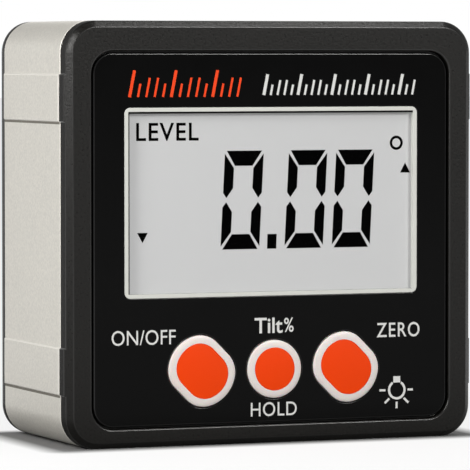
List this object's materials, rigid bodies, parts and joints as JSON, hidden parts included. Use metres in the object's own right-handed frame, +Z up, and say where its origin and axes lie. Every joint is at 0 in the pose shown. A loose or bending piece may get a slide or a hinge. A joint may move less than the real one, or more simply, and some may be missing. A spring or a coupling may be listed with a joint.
{
  "type": "digital angle gauge",
  "caption": "Palm-size square digital angle gauge: aluminium frame with side lands and a magnetic base, plastic covers, segment display, push keys and a rear battery door.",
  "frame": {"origin": "centre of the base on the plane the gauge stands on", "axes": "+X to the right seen from the display, +Y from the display to the back, +Z up from the base"},
  "size_m": [0.0584, 0.027, 0.056],
  "materials": {
    "aluminium": "bead-blasted, clear anodised, satin",
    "magnet": "nickel plated",
    "bezel": "fine spark-eroded texture",
    "panel": "polished",
    "white_trim": "smooth",
    "clear": "clear acrylic, polished",
    "lcd": "grey reflective display with a matt front film",
    "diffuser": "translucent white",
    "connector_rubber": "matt",
    "board": "solder mask",
    "screw": "zinc plated",
    "dark_screw": "black zinc",
    "chip": "matt",
    "tin": "nickel plated",
    "key_white": "satin silicone",
    "key_orange": "satin",
    "cell": "printed sleeve",
    "lead_red": "smooth insulation",
    "lead_black": "smooth insulation"
  },
  "bodies": {
    "case_body": {"side_frame": "aluminium", "base_magnets": "magnet", "front_bezel": "bezel", "front_panel": "panel", "window_frame": "white_trim", "window_lens": "clear", "display_glass": "lcd", "backlight_panel": "diffuser", "backlight_led": "diffuser", "display_connector": "connector_rubber", "display_holder": "white_trim", "main_board": "board", "board_screws": "screw", "tilt_sensor": "chip", "controller_chip": "chip", "clock_crystal": "tin", "board_capacitors": "chip", "on_off_switch": "chip", "hold_switch": "chip", "zero_switch": "chip", "rear_cover": "bezel", "case_screws": "dark_screw", "battery_upper": "cell", "battery_lower": "cell", "link_contact": "tin", "positive_contact": "tin", "negative_contact": "tin", "upper_spring": "tin", "lower_spring": "tin", "positive_lead": "lead_red", "negative_lead": "lead_black"},
    "on_off_key_body": {"on_off_key": "key_white", "on_off_keytop": "key_orange", "on_off_plunger": "white_trim"},
    "hold_key_body": {"hold_key": "key_white", "hold_keytop": "key_orange", "hold_plunger": "white_trim"},
    "zero_key_body": {"zero_key": "key_white", "zero_keytop": "key_orange", "zero_plunger": "white_trim"},
    "door_body": {"battery_door": "bezel"}
  },
  "joints": [
    {"name": "on_off_press", "type": "slide", "parent": "case_body", "child": "on_off_key_body", "axis": [0, 1, 0], "range_m": [0, 0.00025], "stiffness_N_per_m": 150, "springref_m": -0.0005},
    {"name": "hold_press", "type": "slide", "parent": "case_body", "child": "hold_key_body", "axis": [0, 1, 0], "range_m": [0, 0.00025], "stiffness_N_per_m": 150, "springref_m": -0.0005},
    {"name": "zero_press", "type": "slide", "parent": "case_body", "child": "zero_key_body", "axis": [0, 1, 0], "range_m": [0, 0.00025], "stiffness_N_per_m": 150, "springref_m": -0.0005},
    {"name": "door_swing", "type": "hinge", "parent": "case_body", "child": "door_body", "pos_m": [0, 0.0127, 0.0393], "axis": [1, 0, 0], "range_deg": [0, 75]}
  ]
}
